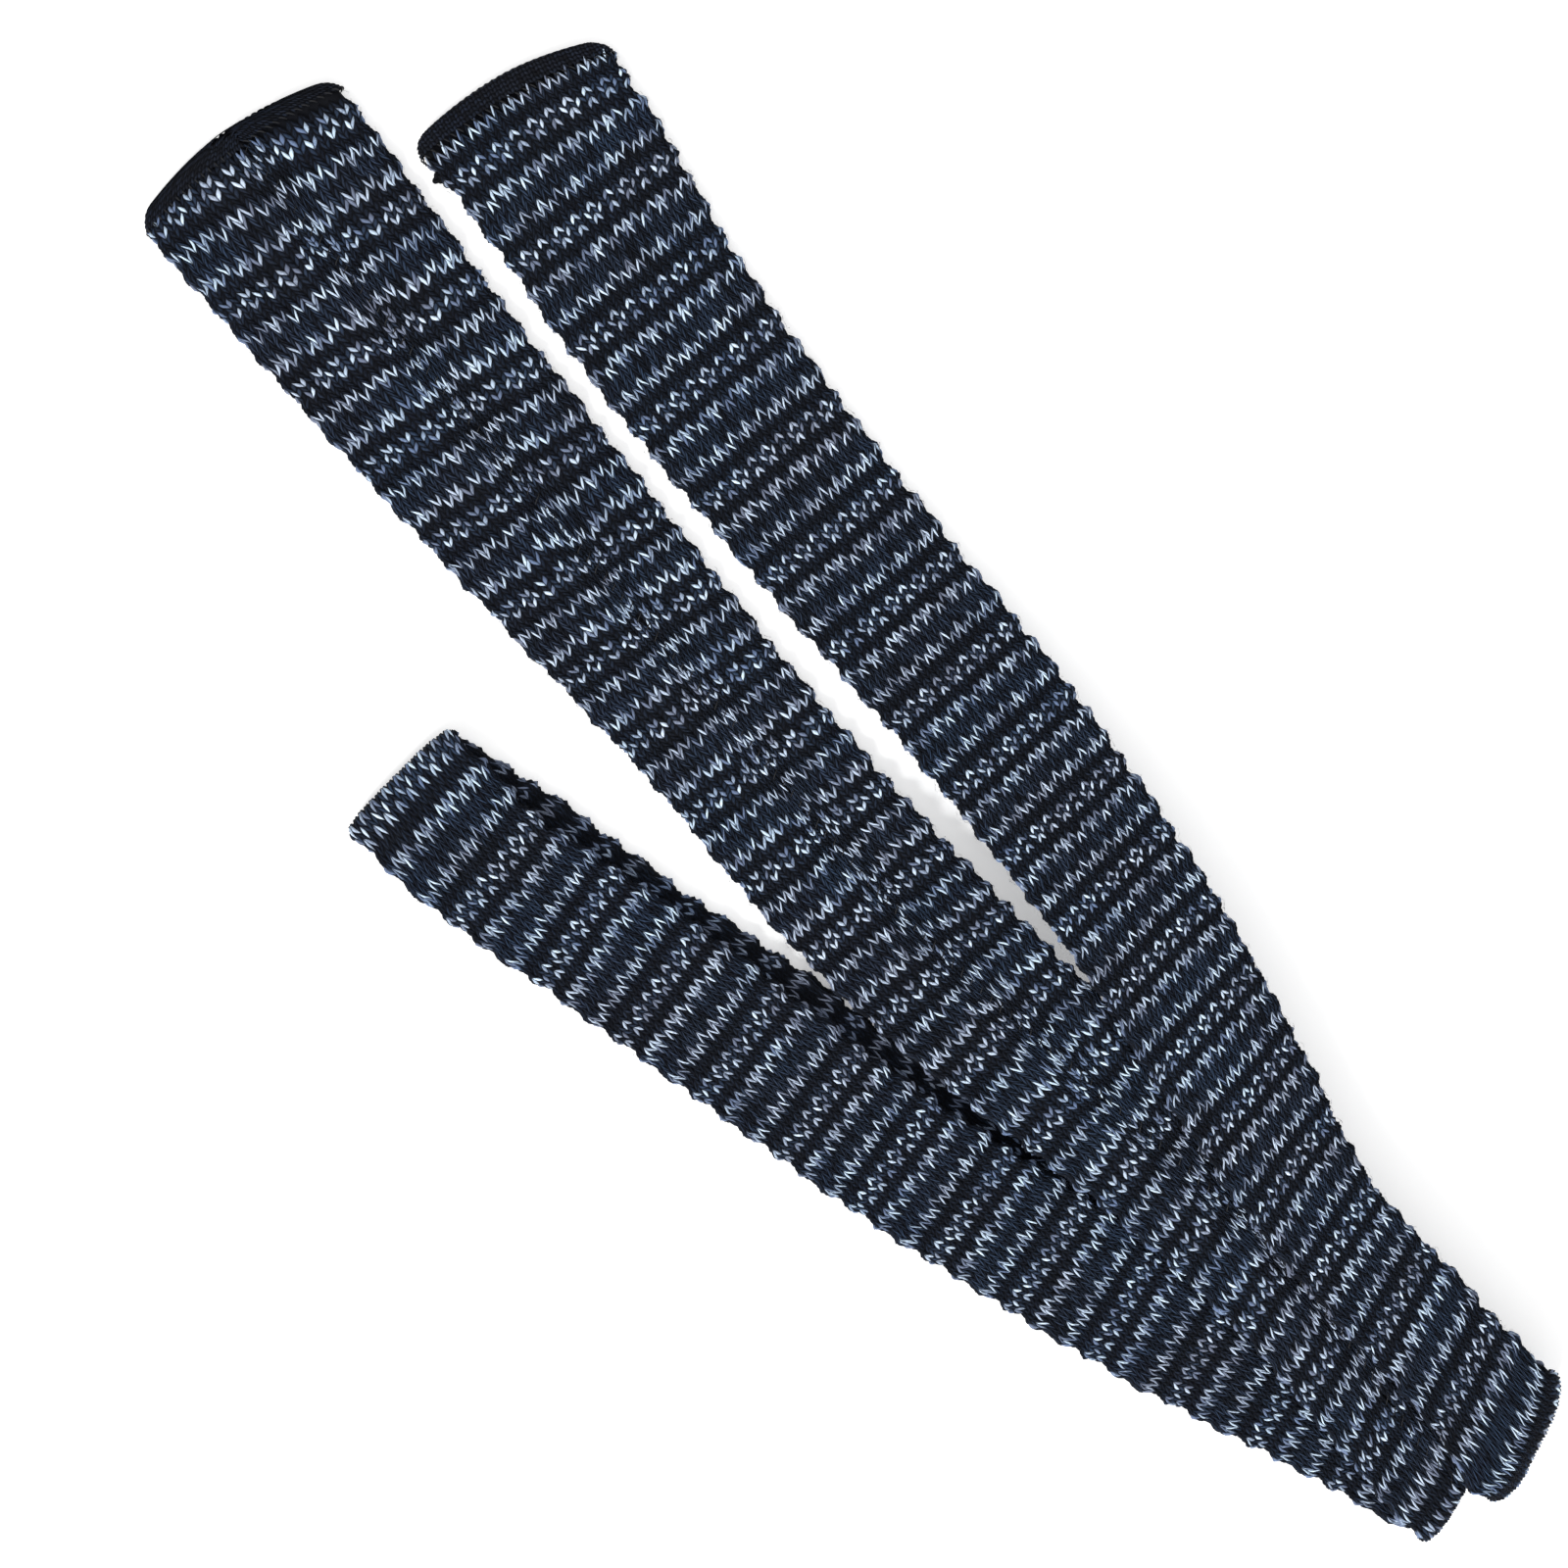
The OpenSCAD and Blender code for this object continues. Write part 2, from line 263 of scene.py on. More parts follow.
openEnd = {
    "corner": 7,
    "narrow": (5, 3.6),  # how far its middle stands out, and how far the corners lie behind that
    "wide": (4.3, 4.2),
    "reach": 14,
    "flare": (1.2, 9),  # how much wider the ends are, and over what length
    "lip": (2.4, 0.94),  # length of the rounded lip, and how much of the thickness it loses
    "narrowHem": 5.5,
    "wideHem": 4.8,
}
wideSeam = {
    "offset": 2.4,  # it lies this far from the middle of the wide blade
    "starts": (10, 40),  # distance past the inner fold, and the length over which it comes in
    "crowd": 0.27,  # how much narrower the wales beside it are
    "crowdReach": (4, 12),
    "sway": 2.1,
    "swayReach": 9,
    "ridge": (0.12, 0.8),  # the rise beside the seam, and how near to it the rise begins
    "groove": (0.15, 0.7),  # depth and half width of the dip over the seam
    "overlap": 0.2,
    "extraRows": (3, 7),  # courses that take the pale legs of the course before, here and there
    "extraSway": 0.4,
    "extraOver": 0.12,
}

# Colour of each course: the lower and upper leg of four wales. # is the pale yarn.
chart = [
    "##..##..",
    "..#....#",
    "##..##..",
    "........",
    "........",
    "..######",
    "##..##..",
    "........",
    "........",
    "........",
    "##..##..",
    "####..##",
    "........",
    "........",
    "........",
]
pale = np.array([[c == "#" for c in row] for row in chart])
band, chartLegs = pale.shape

# Courses gained on an even spacing: at places in x on each lay
stretch = [
    ("narrow", -194, 7.1), ("narrow", -180, 9), ("narrow", -164, 9.7), ("narrow", -120, 9.4),
    ("narrow", -50, 9.5), ("narrow", -14, 10.9), ("narrow", 9, 12.3), ("narrow", 29, 14.6),
    ("narrow", 173, 31), ("lower", 150, 31), ("lower", -60, 26.6), ("upper", -44, 22.5),
    ("upper", 50, 22.5), ("upper", 200, 32), ("wide", 215, 30.4), ("wide", -91, 50),
    ("wide", -139, 50.7), ("wide", -215, 48.5)]
stretchAt = np.array([sAt(name, x) for name, x, gain in stretch])
stretchBy = np.array([gain for name, x, gain in stretch], float)


# 1 in the middle of the ring rows and 0 half a repeat away, as a cosine
def ringRows(course):
    return 0.5 + 0.5 * np.cos((course % band - knit["ringRow"]) / band * 2 * math.pi)


# How far a leg runs along the tube from its wale's middle to its edge, in courses
def legRun(course):
    return knit["run"][0] - knit["run"][1] * ringRows(course)


# 1 in the middle of each hollow row, falling to 0 at its sides
def hollowRows(course):
    (first, firstHalf), (second, secondHalf) = knit["hollowRows"]
    return (smoothStep(1 - np.abs(course % band - first) / firstHalf)
            + smoothStep(1 - np.abs(course % band - second) / secondHalf))


# Which course lies at s. The knitting is drawn a little shorter or longer from lay to lay.
def courseAt(s):
    return s / knit["course"] + np.interp(s, stretchAt, stretchBy)


# The same the other way about: s at a course
def placeOf(course):
    s = np.linspace(-20, total + 20, 3000)
    return np.interp(course, courseAt(s), s)


# Slow waves: the seed, and their lengths along and across the tube
waves = {"height": (9, 6, 5), "along": (3, 17, 11), "round": (5, 7, 6), "sway": (12, 16, 9),
         "extra": (14, 9, 7)}


# A sum of four products of sines, from about -1 to 1
def waver(s, e, kind):
    seed, lengthS, lengthE = waves[kind]
    rng = np.random.default_rng(seed)
    out = 0 * s
    for k in range(4):
        a, b, c, d = rng.uniform(0.6, 1.5, 4)
        out = out + np.sin(s / lengthS * a * 2 + c * 9) * np.sin(e / lengthE * b * 2 + d * 9)
    return out / 2.2


# How much the edges swell and draw in, with the bands as a cosine and with each row as three sines
def unevenEdge(s, side, fromEnd):
    swell = np.cos((courseAt(s) - 1) / edge["scallopRows"] * 2 * math.pi) * 0.5 - 0.5
    one, two, three = [share * np.sin(s * often + side * shift) for share, often, shift in edge["knobWaves"]]
    knobs = (one + two + three) * edge["knob"] / 2
    plain, rise = edge["plain"]
    return (edge["reach"] + edge["scallop"] * swell + knobs) * smoothStep((fromEnd - plain) / rise)


# Half width and half thickness, closing in on quarter ellipses at the hemmed ends
def outline(s, side=1.0, uneven=False):
    fromEnd = np.minimum(s, total - s)
    corner = np.clip(1 - fromEnd / openEnd["corner"], 0, 1)
    cut = openEnd["corner"] * (1 - np.sqrt(1 - corner**2))
    lipReach, lipLoss = openEnd["lip"]
    lip = np.clip(1 - fromEnd / lipReach, 0, 1)
    flare, flareReach = openEnd["flare"]
    half = readStrip("half", s) - cut + flare * np.exp(-(fromEnd / flareReach) ** 2)
    half = half + readStrip("flare", s)
    if uneven:
        half = half + unevenEdge(s, side, fromEnd)
    return half, lay["thickness"] / 2 * np.sqrt(1 - lipLoss * lip**2)


# Length round the tube from the middle of the face to the middle of the reverse
def halfRound(s):
    half, thick = outline(s)
    return 2 * (half - thick) + math.pi * thick


# 0 before the wide blade and 1 where its seam has come in
def seamShare(s):
    past, rise = wideSeam["starts"]
    return smoothStep((s - ends["wide"][0] - past) / rise)


# Distance to one side, and the turn from facing up, at e round the tube. The outline is flat,
# then a half circle at the edge, then flat again on the reverse.
def roundTube(s, e):
    side = np.where(e < 0, -1.0, 1.0)
    half, thick = outline(s, side, True)
    away = np.abs(e) * (2 * (half - thick) + math.pi * thick) / halfRound(s)
    flat = half - thick
    turn = np.clip((away - flat) / thick, 0, math.pi)
    sideways = np.minimum(away, flat) + thick * np.sin(turn)
    return side * (sideways - np.maximum(away - flat - math.pi * thick, 0)), turn, side, half, thick


# How far an end's middle stands out, and its corners less, as the square of the distance sideways
def endShift(name, share, fromEnd):
    lead, behind = openEnd[name]
    return (behind * share - lead) * np.exp(-(fromEnd / openEnd["reach"]) ** 2)


# Place on the tube: e runs round it from the middle of the face, and out is the height above it.
# Past the first and last stations it goes straight on, along the crosswise line turned by a right
# angle. A fold bows as the fourth power of the distance sideways.
def onTube(s, e, out):
    sideways, turn, side, half, thick = roundTube(s, e)
    out = np.maximum(out, -knit["deepest"] * thick)
    share = np.clip(np.abs(sideways) / (half + 1), 0, 1) ** 2
    s = s + endShift("narrow", share, s) - endShift("wide", share, total - s)
    beyond = (np.minimum(s, 0) + np.maximum(s - total, 0))[..., None]
    forward = np.cross(readStrip("across", s), readStrip("up", s))
    point = readStrip("middle", s) + beyond * forward + readStrip("slide", s)
    point = point + readStrip("across", s) * (sideways + side * out * np.sin(turn))[..., None]
    point = point + readStrip("bow", s) * (1 - np.clip(sideways / half, -1, 1) ** 4)[..., None]
    return point + readStrip("up", s) * ((thick + out) * np.cos(turn))[..., None]


# Faces of a grid of rows and columns, as corner numbers, turning the way that faces outwards
def gridQuads(rows, columns):
    row, col = np.meshgrid(np.arange(rows - 1), np.arange(columns - 1), indexing="ij")
    corner = row * columns + col
    return np.stack([corner, corner + columns, corner + columns + 1, corner + 1], -1), row, col


# The four corners of a face as steps of 0 or 1, and their place in a pattern
faceCorners = ((0, 0), (0, 1), (1, 1), (1, 0))


def makeObject(name, points, quads, toneAndShade=None, uv=None):
    used, index = np.unique(quads, return_inverse=True)
    quads = index.reshape(quads.shape)
    mesh = bpy.data.meshes.new(name)
    mesh.vertices.add(len(used))
    mesh.vertices.foreach_set("co", (points[used] * mm).astype(np.float32).ravel())
    mesh.loops.add(quads.size)
    mesh.loops.foreach_set("vertex_index", quads.ravel().astype(np.int32))
    mesh.polygons.add(len(quads))
    mesh.polygons.foreach_set("loop_start", np.arange(0, quads.size, 4, dtype=np.int32))
    mesh.polygons.foreach_set("loop_total", np.full(len(quads), 4, np.int32))
    mesh.polygons.foreach_set("use_smooth", np.ones(len(quads), bool))
    mesh.update(calc_edges=True)
    if uv is not None:
        mesh.uv_layers.new(name="leg").data.foreach_set("uv", uv.astype(np.float32).ravel())
    if toneAndShade is not None:
        layer = mesh.attributes.new("toneAndShade", "FLOAT", "FACE")
        layer.data.foreach_set("value", toneAndShade.astype(np.float32))
    piece = bpy.data.objects.new(name, mesh)
    bpy.context.scene.collection.objects.link(piece)
    return piece


pieces = {"navy": [], "pale": [], "hem": [], "thread": [], "tape": [], "fibre": [], "base": []}


# Beside the wide blade's seam the wales crowd together. Gives the crowded e, the distance from the
# seam, and how much the rows sway there.
def besideSeam(s, e):
    side = np.where(e < 0, -1.0, 1.0)
    share = seamShare(s)
    limit = halfRound(s) - side * wideSeam["offset"] * share
    fromSeam = limit - np.abs(e)
    near, fade = wideSeam["crowdReach"]
    crowd = 1 - wideSeam["crowd"] * share * (1 - smoothStep((fromSeam - near) / fade))
    distance = np.where(fromSeam > 0, fromSeam * crowd, fromSeam)
    sway = share * np.exp(-(np.maximum(fromSeam, 0) / wideSeam["swayReach"]) ** 4)
    return side * (limit - distance), fromSeam, sway


# Stitches on a stretch of the tube. Each wale is two columns of slanted legs: a leg is a cell of
# a grid that is sheared along s by a zigzag across e. Its height is a pillow, the product of a
# sine along it and a sine across it. Pale and navy legs become two pieces.
def knitStitches(name, sStart, sEnd, reach, place, fine=True, plain=None, shadowDim=1.0):
    lengthSteps, thickSteps = (3, 4) if fine else (2, 2)
    h = plain["course"] if plain else knit["course"]
    first = int(math.floor(sStart / h if plain else courseAt(sStart))) - 4
    count = int(math.ceil(sEnd / h if plain else courseAt(sEnd))) + 2 - first
    legs = plain["legs"] if plain else knit["legs"]
    n = np.arange(count * thickSteps + 1)
    course = (first + n / thickSteps)[:, None]
    m = np.arange(legs * lengthSteps + 1)
    column = (m / lengthSteps - legs / 2)[None, :]
    zigzag = np.abs((column + 1) % 2 - 1)
    run = plain["run"] if plain else legRun(course)
    sGrid = (course + run * zigzag) * h if plain else placeOf(course + run * zigzag)
    eGrid = column * (plain["wale"] if plain else readStrip("wale", sGrid)) / 2 + 0 * sGrid
    e, fromSeam, sway = besideSeam(sGrid, eGrid)

    # cells, their own middles, and which are pale
    quads, row, col = gridQuads(len(n), len(m))
    legRow, legCol = row // thickSteps, col // lengthSteps
    atCell = (legRow * thickSteps + thickSteps // 2, legCol * lengthSteps + lengthSteps // 2)
    chartRow, chartCol = (first + legRow) % band, (legCol - legs // 2 + 1) % chartLegs
    extra = (sway > wideSeam["extraSway"]) & (waver(sGrid, eGrid, "extra") > wideSeam["extraOver"])
    extra = extra[atCell] & np.isin(chartRow, wideSeam["extraRows"])
    isPale = (pale[chartRow, chartCol] | (extra & pale[chartRow - 1, chartCol])) & (plain is None)
    paleCorner = np.zeros(sGrid.shape)
    paleCorner[:-1, :-1] = isPale

    # heights
    overThick, overLength = knit["fullness"]
    swell = np.sin(math.pi * (course % 1)) ** overThick * np.sin(math.pi * (column % 1)) ** overLength
    hollow = np.zeros(course.shape) if plain else hollowRows(course)
    if plain:
        lift = plain["rise"] + plain["relief"] * (swell - 1)
    else:
        waleKnob = (np.cos(math.pi * (column + 0.5) / 2) * 0.5 - 0.5) * ringRows(course) ** 2
        lift = (knit["relief"] * (swell - 1) + knit["proud"] + knit["paleRise"] * swell * (paleCorner - 1)
                - knit["hollow"] * hollow + knit["ringKnob"] * waleKnob)
    lift = lift + knit["heightWave"] * waver(sGrid, eGrid, "height") - knit["sunk"]
    (ridge, ridgeNear), (groove, grooveHalf) = wideSeam["ridge"], wideSeam["groove"]
    lift = (lift + ridge * sway * (1 - np.exp(-(fromSeam / ridgeNear) ** 2))
            - groove * np.exp(-(fromSeam / grooveHalf) ** 2))
    sideways, turn = roundTube(sGrid, e)[:2]
    lift = lift * (1 + knit["edgeRelief"] * np.sin(turn))
    where = sGrid + readStrip("lean", sGrid) * sideways * (0 if plain else 1)
    where = (where + knit["alongWave"] * waver(sGrid, eGrid, "along")
             + wideSeam["sway"] * sway * waver(sGrid, eGrid, "sway"))
    e = e + knit["roundWave"] * waver(sGrid, eGrid, "round")
    points = onTube(np.clip(where, knit["clear"], total - knit["clear"]), e, lift)

    rng = np.random.default_rng(len(name) * 31 + first % 97)
    legTone = rng.random((count + 1, legs + 1))[legRow, legCol]
    toneAndShade = legTone
    if not plain:
        # In the hollow rows the tone is darker: partly their own dark ground, partly painted shade in the
        # recess
        toneAndShade = toneAndShade * (1 - knit["hollowToneAndShade"] * hollow[atCell[0][:, 0], 0][:, None])
        # Painted shade as the tube turns round its edges, and painted shadow, a given share of the tone, on
        # a lay lying in another's shade
        toneAndShade = toneAndShade * (1 - knit["paintedEdgeShade"] * np.sin(turn[atCell]) ** 2) * shadowDim
    keep = ((sGrid[atCell] >= sStart) & (sGrid[atCell] < sEnd)
            & reach(sGrid, eGrid)[atCell] & (fromSeam[atCell] > -wideSeam["overlap"]))
    overLeg, overRow = (col % lengthSteps) / lengthSteps, (row % thickSteps) / thickSteps
    shift = np.floor(legTone * 40)
    uv = np.stack([np.stack([overLeg + a / lengthSteps + shift, overRow + b / thickSteps + shift], -1)
                   for a, b in faceCorners], -2)
    made = []
    for kind, pick in (("navy", keep & ~isPale), ("pale", keep & isPale)):
        if pick.any():
            piece = makeObject(name + ("" if plain else kind.capitalize()), points.reshape(-1, 3),
                               quads[pick], toneAndShade[pick], uv[pick])
            place(piece)
            pieces["hem" if plain else kind].append(piece)
            made.append(piece)
    print(name, "triangles:", [2 * len(o.data.polygons) for o in made])
    return made


# Parts of the way round the tube
def onFace(s, e):
    return np.abs(e) < halfRound(s) / 2


def onReverse(s, e):
    return np.abs(e) >= halfRound(s) / 2


def allRound(s, e):
    return np.abs(e) >= 0


# The bends of the wide blade and of the neck loop: from the first x to the second
bends = {"wide": (48, 8), "loop": (26, -12)}


# How each piece follows the bodies: it rides on one, or at a bend or fold it is fixed where it lies
def rides(body):
    return lambda piece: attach(piece, body)


def bendsAt():
    return lambda piece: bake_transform(piece)


def overFold(piece):
    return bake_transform(piece)


onNarrow, onStack, onLoop = rides("narrow_blade"), rides("folded_stack"), rides("neck_loop")
onWide = bendsAt()
onUpper = bendsAt()
onLower = bendsAt()

narrowTo = ends["narrow"][1]
wideFrom = ends["wide"][0]
narrowHemEnd, wideHemStart = openEnd["narrowHem"], total - openEnd["wideHem"]
narrowHalf, wideHalf = sAt("narrow", 0), sAt("wide", -30)
cloth = {}
cloth["narrowFace"] = knitStitches("narrowFace", narrowHemEnd, narrowHalf, onFace, onNarrow)
cloth["narrowRoot"] = knitStitches("narrowRootFace", narrowHalf, narrowTo, onFace, onNarrow)
cloth["narrowReverse"] = knitStitches("narrowReverse", narrowHemEnd, narrowTo, onReverse, onNarrow,
                                      fine=False)
cloth["outerFold"] = knitStitches("outerFold", *ends["outerFold"], allRound, overFold)
cloth["lowerFace"] = knitStitches("lowerFace", *ends["lower"], onFace, onLower, fine=False)
# The lower lay's reverse gets painted shadow: its tone is cut to 0.4 for the shade of the lay above it
cloth["lowerReverse"] = knitStitches("lowerReverse", *ends["lower"], onReverse, onLower, fine=False, shadowDim=0.4)
cloth["loopFold"] = knitStitches("loopFold", *ends["loopFold"], allRound, onLoop)
cloth["upperFace"] = knitStitches("upperFace", *ends["upper"], onFace, onUpper)
cloth["upperReverse"] = knitStitches("upperReverse", *ends["upper"], onReverse, onUpper, fine=False)
cloth["innerFold"] = knitStitches("innerFold", *ends["innerFold"], allRound, onStack)
cloth["wideFace"] = knitStitches("wideFace", wideFrom, wideHemStart, onFace, onWide, fine=False)
cloth["wideRoot"] = knitStitches("wideRootReverse", wideFrom, wideHalf, onReverse, onWide)
cloth["wideBlade"] = knitStitches("wideBladeReverse", wideHalf, wideHemStart, onReverse, onWide)

# The plain hems, in fine rows that are almost straight
hemKnit = {"course": 1.0, "wale": 1.9, "legs": 140, "run": 0.45, "relief": 0.5, "rise": 0.14}
narrowHem = knitStitches("narrowHem", 0, narrowHemEnd, allRound, onNarrow, plain=hemKnit)
wideHem = knitStitches("wideHem", wideHemStart, total, allRound, onWide, plain=hemKnit)


# Inner face of the knitting: the same tube made smaller all round, open along its seam
inner = {"depth": 1.3, "round": 40, "share": 0.985, "clear": 0.8}


def innerCloth(name, s0, s1, place, rests, held, rows, goesWith):
    s = np.linspace(max(s0, inner["clear"]), min(s1, total - inner["clear"]), rows)[:, None]
    share = np.linspace(-inner["share"], inner["share"], inner["round"] + 1)[None, :]
    points = onTube(s + 0 * share, share * halfRound(s), -inner["depth"] + 0 * share * s)
    quads = gridQuads(rows, inner["round"] + 1)[0].reshape(-1, 4)
    piece = makeObject(name, points.reshape(-1, 3), quads)
    place(piece)
    pieces["base"].append(piece)


innerCloth("narrowTube", 0, narrowTo, onNarrow, ["wide_blade_root"], "laid", 200,
           cloth["narrowFace"] + cloth["narrowRoot"] + cloth["narrowReverse"] + narrowHem)
innerCloth("outerFoldTube", *ends["outerFold"], overFold, ["stack_lower_lay"], "folded", 30,
           cloth["outerFold"])
innerCloth("neckTube", ends["lower"][0], ends["upper"][1], onLower, ["floor"], "laid", 330,
           cloth["lowerFace"] + cloth["lowerReverse"] + cloth["loopFold"]
           + cloth["upperFace"] + cloth["upperReverse"])
innerCloth("wideTube", ends["innerFold"][0], total, onWide, ["stack_upper_lay"], "laid", 220,
           cloth["innerFold"] + cloth["wideFace"] + cloth["wideRoot"] + cloth["wideBlade"]
           + wideHem)


# Round yarns: a ring of points is carried along each line, at right angles to it, and both ends
# are closed. lines has one row of points for each yarn.
def roundYarns(name, lines, radius, sides, kind, place, toneAndShade=None):
    count, steps = lines.shape[:2]
    along = np.gradient(lines, axis=1)
    along = along / np.linalg.norm(along, axis=-1)[..., None]
    first = np.cross(along, [0.31, 0.22, 0.93])
    first = first / np.linalg.norm(first, axis=-1)[..., None]
    second = np.cross(along, first)
    turn = np.linspace(0, 2 * math.pi, sides, endpoint=False)
    taper = radius * np.sqrt(1 - 0.8 * np.abs(np.linspace(-1, 1, steps)) ** 12)[None, :, None, None]
    points = lines[:, :, None] + taper * (first[:, :, None] * np.cos(turn)[:, None]
                                          + second[:, :, None] * np.sin(turn)[:, None])
    block = np.arange(count)[:, None, None] * steps * sides
    ring = np.arange(steps - 1)[None, :, None] * sides
    one, two = np.arange(sides)[None, None, :], np.roll(np.arange(sides), -1)[None, None, :]
    low = block + ring
    skin = np.stack([low + one, low + two, low + sides + two, low + sides + one], -1).reshape(-1, 4)
    caps = [[0, k + 3, k + 2, k + 1] for k in range(0, sides - 2, 2)]
    startCap = (np.array(caps)[None] + block).reshape(-1, 4)
    endCap = (np.array(caps)[None, :, ::-1] + block + (steps - 1) * sides).reshape(-1, 4)
    quads = np.concatenate([skin, startCap, endCap])
    uv = np.zeros((len(quads), 4, 2))
    u = np.broadcast_to(np.arange(steps - 1)[None, :, None], (count, steps - 1, sides)).ravel()
    v = np.broadcast_to(np.arange(sides)[None, None, :] / sides, (count, steps - 1, sides)).ravel()
    uv[:len(skin)] = np.stack([np.stack([u + a, v + b / sides], -1) for a, b in faceCorners], -2) * [0.25, 1]
    piece = makeObject(name, points.reshape(-1, 3), quads, toneAndShade, uv)
    place(piece)
    pieces[kind].append(piece)
    print(name, "triangles:", 2 * len(quads))
    return piece


# The whipped seam: a helix through the reverse ply, half of each turn over the seam, half under
seam = {"turn": 3.2, "reach": 1.1, "radius": 0.17, "steps": 12, "depth": 0.75, "height": 0.6}


def seamThread(name, s0, s1, place):
    turns = (s1 - s0) / seam["turn"]
    phase = np.linspace(0, turns, int(turns * seam["steps"])) * 2 * math.pi
    s = s0 + phase / (2 * math.pi) * seam["turn"]
    middle = halfRound(s) - wideSeam["offset"] * seamShare(s)
    line = onTube(s, middle + seam["reach"] * np.cos(phase), -seam["depth"] + seam["height"] * np.sin(phase))
    return roundYarns(name, line[None], seam["radius"], 6, "thread", place)


narrowSeam = seamThread("narrowSeamThread", narrowHemEnd + 1, narrowTo - 3, onNarrow)
stackSeam = seamThread("upperSeamThread", ends["upper"][0] + 3, ends["upper"][1] - 1, onUpper)
loopSeam = seamThread("lowerSeamThread", ends["lower"][0] + 3, ends["lower"][1] - 1, onLower)
bladeSeam = seamThread("wideSeamThread", wideFrom + 1, wideHemStart - 1, onWide)

# Hem stitching: a row of short slanted thread bows over the hem's inner border, on both plies
hemThread = {"step": 2.1, "length": 1.3, "slant": 0.9, "rise": 0.1, "sunk": 0.5, "radius": 0.2,
             "inside": 0.3}


def hemStitching(name, s, place):
    reach = float(halfRound(np.array([s]))[0]) - 2
    e = np.arange(-reach, reach, hemThread["step"])[:, None]
    t = np.linspace(-0.5, 0.5, 7)[None, :]
    out = (hemThread["rise"] + hemThread["sunk"]) * np.cos(t * math.pi) - hemThread["sunk"]
    line = onTube(s + hemThread["length"] * t + 0 * e, e + hemThread["slant"] * t, out + 0 * e)
    return roundYarns(name, line, hemThread["radius"], 6, "thread", place)


narrowStitching = hemStitching("narrowHemStitching", narrowHemEnd + hemThread["inside"], onNarrow)
wideStitching = hemStitching("wideHemStitching", wideHemStart - hemThread["inside"], onWide)

# The knotted yarn end at the narrow hem's corner: a trefoil with two short tails
knot = {"x": -184.6, "size": 0.52, "flat": (0.8, 0.8, 1), "radius": 0.46, "out": 0.1}
spot, cross, spotHalf = alongLay(narrowLay, np.array([knot["x"]], float))[:3]
spot = spot[0] - cross[0] * (spotHalf[0] + knot["out"])
t = np.linspace(0, 2 * math.pi, 60)
trefoil = np.stack([np.sin(t) + 2 * np.sin(2 * t), np.cos(t) - 2 * np.cos(2 * t), -np.sin(3 * t)], 1)
tail = np.linspace(0, 1, 8)[:, None]
tails = [trefoil[-1] + tail * np.array([1.2, 3.6, 0.6]) + np.sin(tail * 3) * [0.5, 0, 0.3],
         trefoil[0] - tail * np.array([-1.5, -4.2, 0.8])]
knotLine = spot + np.concatenate([tails[1][:0:-1], trefoil, tails[0][1:]]) * knot["size"] * knot["flat"]
yarnKnot = roundYarns("yarnKnot", knotLine[None], knot["radius"], 8, "hem", onNarrow)

# The woven tape inside the neck loop: a flat strip along the face ply
tape = {"width": 22, "thickness": 0.35, "off": 0.28, "gap": 3, "rows": 120, "columns": 9}
tapeFrom = sAt("lower", bends["loop"][1] - tape["gap"])
tapeTo = sAt("upper", bends["loop"][1] - tape["gap"])
s = np.linspace(tapeFrom, tapeTo, tape["rows"])[:, None] + np.zeros(tape["columns"])
side = np.linspace(-0.5, 0.5, tape["columns"])[None, :] * tape["width"] + 0 * s
tapePoints = (readStrip("middle", s) + readStrip("across", s) * side[..., None]
              + readStrip("up", s) * tape["off"])
tapeQuads, tapeRow, tapeCol = gridQuads(tape["rows"], tape["columns"])
tapeUv = np.stack([np.stack([(tapeCol + a) * tape["width"] / (tape["columns"] - 1),
                             (tapeRow + b) * (tapeTo - tapeFrom) / (tape["rows"] - 1)], -1)
                   for a, b in faceCorners], -2)
stayTape = makeObject("stayTape", tapePoints.reshape(-1, 3), tapeQuads.reshape(-1, 4), None,
                      tapeUv.reshape(-1, 4, 2))
thicken = stayTape.modifiers.new("thickness", "SOLIDIFY")
thicken.thickness = tape["thickness"] * mm
thicken.offset = 0
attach(stayTape, "neck_loop")
pieces["tape"].append(stayTape)
print("tape, millimetres:", round(float(tapeTo - tapeFrom)))

# Loose fibres: short curved hairs that leave the surface, more of them along the edges
hair = {"perMillimetre": 2.6, "length": (0.9, 2.6), "radius": 0.028, "rise": 0.55, "onEdge": 0.45,
        "edgeSpread": 0.03, "bend": 1.3, "sunk": 0.15, "steps": 6, "tuftHairs": 90, "tuftLength": 1.3}


